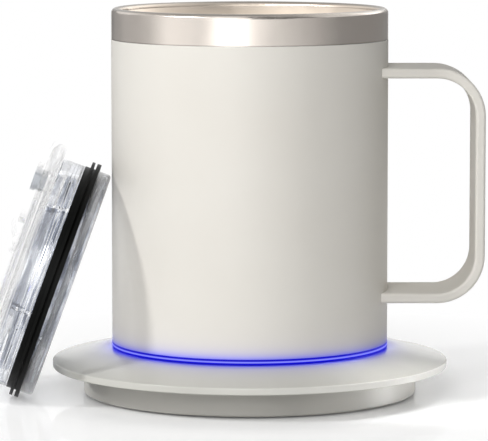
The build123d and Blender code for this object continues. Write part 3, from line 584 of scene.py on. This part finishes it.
def dress_lid(lid, body, rim, skirt, well):
    """Gives each face of the lid one of its plastics by where it is."""
    rim_foot, skirt_top = -0.01, -11.5
    well_inner, well_outer, well_foot, well_top = 29.0, 34.95, -12.0, 0.5
    # The plastics are copies of one clear plastic, with darker or paler painted reflections by zone
    for material in (body, rim, skirt, well):
        lid.data.materials.append(material)
    for face in lid.data.polygons:
        place = face.center / MM - lid_centre
        height = place.dot(lid_out)
        radius = math.sqrt(max(0.0, place.length_squared - height * height))
        if well_inner < radius < well_outer and well_foot < height < well_top:
            face.material_index = 3
        elif height > rim_foot:
            face.material_index = 1
        elif height < skirt_top:
            face.material_index = 2
        else:
            face.material_index = 0


def make_camera():
    """The camera of the photograph: long lens, a little above the coaster."""
    distance, pitch = 1.1205, math.radians(6.34)
    aim_x, aim_height = -1.86 * MM, 56.55 * MM
    data = bpy.data.cameras.new("camera")
    data.lens = 253.0
    data.sensor_width = 36.0
    data.clip_start = 0.05
    data.clip_end = 50
    camera = bpy.data.objects.new("camera", data)
    camera.location = (aim_x, -distance * math.cos(pitch), aim_height + distance * math.sin(pitch))
    camera.rotation_euler = Euler((math.pi / 2 - pitch, 0, 0))
    bpy.context.scene.collection.objects.link(camera)
    bpy.context.scene.camera = camera


def make_floor():
    """A glossy pale table top with a painted contact shadow, fading into the white background."""
    size = 6.0
    mirror_share = 0.14
    fade_start, fade_end = 0.085, 0.2
    corners = [(-size, -size, 0), (size, -size, 0), (size, size, 0), (-size, size, 0)]
    floor = add_mesh("floor", corners, [(0, 1, 2, 3)])
    shader = Shader("floor_white")
    surface = shader.surface(
        Roughness=0.9, Specular_IOR_Level=0.0, Base_Color=grey(0.8), Emission_Color=WHITE,
    )
    # Painted contact shadow: it glows where it is seen, less near the mug, by distance in tenths of a
    # metre
    seen = shader.seen_rays()
    stops = [(0.5, grey(0.05)), (0.56, grey(0.19)), (0.85, grey(0.42))]
    near = shader.ramp(shader.math("MULTIPLY", shader.radius(), 10.0), stops)
    shader.feed(surface, Emission_Strength=shader.math("MULTIPLY", seen, near))
    mirror = shader.node("BsdfGlossy", Color=WHITE, Roughness=0.03)
    polished = shader.mix_shaders(mirror_share, surface, mirror)
    white = shader.node("Emission", Color=WHITE, Strength=1.0)
    far = shader.spread(shader.radius(), 0.0, 1.0, fade_start, fade_end)
    shader.show(shader.mix_shaders(shader.math("MULTIPLY", far, seen), polished, white))
    shader.material.cycles.emission_sampling = "NONE"
    floor.data.materials.append(shader.material)


def make_world():
    """White where it is seen, and a soft fill that comes mostly from low down where it lights."""
    world = bpy.data.worlds.new("studio")
    bpy.context.scene.world = world
    sky = Nodes(world, "OutputWorld")
    split = sky.node("SeparateXYZ")
    sky.feed(split, Vector=sky.node("TexCoord").outputs["Generated"])
    # As it lights and as it is seen: strength low down and overhead, and the heights of both
    shades = []
    for horizon, zenith, low, high in ((0.46, 0.04, 0.0, 1.0), (1.0, 0.75, 0.5, 0.9)):
        shade = sky.node("Background", Color=WHITE)
        sky.feed(shade, Strength=sky.spread(split.outputs["Z"], horizon, zenith, low, high))
        shades.append(shade)
    sky.show(sky.mix_shaders(sky.seen_rays(), *shades))


def studio_wall(name, start, end, radiance, low=0.002, top=1.2):
    """A curved upright card that metal reflects. Bearings are in degrees, 0 towards the camera."""
    distance, degrees_per_step = 0.6, 4
    steps = max(2, round((end - start) / degrees_per_step))
    points, faces = [], []
    for step in range(steps + 1):
        bearing = math.radians(start + (end - start) * step / steps)
        x, y = distance * math.sin(bearing), -distance * math.cos(bearing)
        points += [(x, y, low), (x, y, top)]
    for step in range(steps):
        faces.append((2 * step, 2 * step + 2, 2 * step + 3, 2 * step + 1))
    card = add_mesh(name, points, faces)
    shader = Shader(name)
    shader.show(shader.node("Emission", Color=WHITE, Strength=radiance))
    shader.material.cycles.emission_sampling = "NONE"
    card.data.materials.append(shader.material)
    card.visible_camera = False
    card.visible_shadow = False
    card.visible_diffuse = False
    card.visible_transmission = False


def softbox(name, place, aim, size, power, beam=180, mirrored=True):
    """A rectangular lamp that points at a spot.

    beam is the angle of its light in degrees. One that isn't mirrored shows in no gloss or glass.
    """
    data = bpy.data.lights.new(name, "AREA")
    data.shape = "RECTANGLE"
    data.size, data.size_y = size
    data.energy = power
    data.spread = math.radians(beam)
    lamp = bpy.data.objects.new(name, data)
    lamp.location = place
    lamp.rotation_euler = (Vector(aim) - Vector(place)).to_track_quat("-Z", "Y").to_euler()
    lamp.visible_camera = False
    lamp.visible_glossy = mirrored
    lamp.visible_transmission = mirrored
    bpy.context.scene.collection.objects.link(lamp)


# The parts that show
dress(powder_coat("coat_on_shell", with_painted_light=True, gloss=0.5), "outer_shell")
dress(powder_coat("coat_on_handle", with_painted_light=False, gloss=0.01), "handle")
dress(satin_steel("satin_steel"), "inner_cup")
dress(lit_ring("lit_ring"), "light_ring")
disc_tones = srgb(198, 197, 190), srgb(203, 202, 195)
# The drum's tones are darker than the disc's: painted shade under the disc's overhang
drum_shaded_tones = srgb(179, 177, 171), srgb(184, 182, 176)
dress(coaster_plastic("disc_plastic", *disc_tones, roughness=0.2, with_painted_light=True), "coaster_top")
dress(coaster_plastic("drum_plastic_shaded", *drum_shaded_tones, roughness=0.3, with_painted_light=False), "coaster_base")

rim_plastic = clear_plastic("rim_plastic", 0.36, (0.93, 0.94, 0.97, 1), pale=WHITE)
dress_lid(
    make_lid(),
    body=clear_plastic("lid_plastic", 1.0, (0.66, 0.7, 0.79, 1), pale=(0.97, 0.98, 1.0, 1)),
    rim=rim_plastic,
    skirt=clear_plastic("skirt_plastic", 0.7, (0.6, 0.63, 0.7, 1)),
    well=clear_plastic("well_plastic", 1.0, (0.5, 0.53, 0.6, 1)),
)
dress(rim_plastic, "flip_cap", "hinge_pin")

# The rest: material, darkest and lightest tone, roughness, grain, then gloss where it isn't 0.5
RUBBER, MOULD = 1800, 1500
for name, dark, light, *finish, dressed in [
    ("black_silicone", (7, 8, 7), (12, 13, 12), 0.42, RUBBER, 0.1, ["lid_gasket"]),
    ("grey_rubber", (88, 88, 86), (98, 98, 96), 0.6, RUBBER, ["coaster_foot_pad", "base_seal"]),
    ("milky_silicone", (196, 200, 205), (210, 214, 218), 0.4, RUBBER,
     ["vent_plug", "cap_seal", "button_dome"]),
    ("grey_silicone", (112, 112, 112), (124, 124, 123), 0.55, RUBBER, ["mug_foot_ring", "power_button"]),
    ("base_plastic", (52, 52, 54), (60, 60, 62), 0.5, MOULD, ["base_cover", "pin_block"]),
    ("frame_plastic", (205, 205, 200), (214, 214, 209), 0.5, MOULD,
     ["battery_holder", "insulation_pad"]),
    ("board_green", (16, 84, 44), (22, 96, 52), 0.35, MOULD,
     ["charging_board", "led_board", "control_board"]),
    ("chip_black", (24, 24, 26), (34, 34, 36), 0.4, MOULD,
     ["charging_chips", "control_chips", "temperature_sensor"]),
    ("lamp_body", (235, 235, 220), (245, 245, 230), 0.2, MOULD, ["leds"]),
    ("cell_sleeve", (30, 80, 140), (36, 92, 156), 0.3, MOULD,
     ["battery_cell_left", "battery_cell_right"]),
    ("amber_film", (200, 120, 30), (214, 134, 40), 0.3, MOULD, ["heater_film"]),
]:
    dress(matte_plastic(name, srgb(*dark), srgb(*light), *finish), *dressed)
dress(
    plain_metal("gold_plate", srgb(226, 184, 96), srgb(238, 198, 112), 0.2),
    "contact_pin_centre", "contact_pin_ring", "centre_contact", "ring_contact",
)
dress(
    plain_metal("bright_steel", srgb(176, 176, 178), srgb(194, 194, 196), 0.25),
    "coaster_screws", "base_screws", "power_inlet", "centre_pin_spring", "ring_pin_spring",
    "cell_straps", "heater_plate",
)

# Copies of the springs and the dome, hung on their bodies, which keep their materials
squeezed("centre_pin_spring", "coaster")
squeezed("ring_pin_spring", "coaster")
squeezed("button_dome", "mug")

make_camera()
make_floor()
make_world()

# Lamps: place, aim, size and watts. The key lights the front, and the side lamp throws the lid's
# shadow. The narrow beams lift the drum's two ends, the mug's back and the right of the disc.
softbox("key", (-0.205, -0.98, 0.75), (0, 0, 0.75), (0.42, 1.0), 7.6)
softbox("side", (-0.825, -0.47, 0.7), (0, 0, 0.06), (0.12, 0.14), 5.0)
softbox("back", (0.5, 0.85, 0.8), (0, 0, 0.06), (0.5, 0.5), 0.7)
softbox("low_right", (0.58, 0.155, 0.006), (0, 0, 0.006), (0.5, 0.012), 0.016, beam=2)
softbox(
    "low_left", (-0.402, 0.476, 0.006), (-0.042, -0.004, 0.006), (0.04, 0.012), 0.0028,
    beam=2, mirrored=False,
)
softbox(
    "rear", (0.12, 0.9, 0.085), (0, 0, 0.075), (0.6, 0.13), 0.13,
    beam=10, mirrored=False,
)
softbox(
    "over_disc", (0.06, -0.042, 0.7), (0.06, -0.042, 0.02), (0.06, 0.03), 0.004,
    beam=4, mirrored=False,
)

# What the steel reflects all round: from bearing, to bearing, radiance
low_ring = [
    (-165, -150, 0.22), (-150, -128, 0.38), (-128, -98, 0.52), (-98, -86, 0.6), (-86, -76, 0.82),
    (-76, -56, 1.2), (-56, -44, 1.08), (-44, -33, 0.92), (-33, -25, 1.3), (-25, -3, 2.4),
    (-3, 6, 1.2), (6, 14, 1.05), (14, 28, 0.81), (28, 41, 0.69), (41, 55, 0.56), (55, 70, 0.41),
    (70, 165, 0.28),
]
# The same higher up, which the mouth of the cup reflects
high_ring = [
    (-165, -115, 1.0), (-115, -60, 0.6), (-60, -34, 0.6), (-34, -10, 0.95), (-10, 2, 0.55),
    (2, 12, 0.3), (12, 32, 0.1), (32, 60, 0.2), (60, 115, 0.8), (115, 165, 2.0),
]
rings_meet = 0.27
for index, (start, end, radiance) in enumerate(low_ring):
    studio_wall(f"wall_{index}", start, end, radiance, top=rings_meet)
for index, (start, end, radiance) in enumerate(high_ring):
    studio_wall(f"high_wall_{index}", start, end, radiance, low=rings_meet)
# Two low cards behind the mug, which the disc reflects
studio_wall("behind", 166, 181, 1.5, top=0.112)
studio_wall("behind_left", 181, 194, 1.3, top=0.112)

bpy.context.scene.view_settings.view_transform = "Standard"
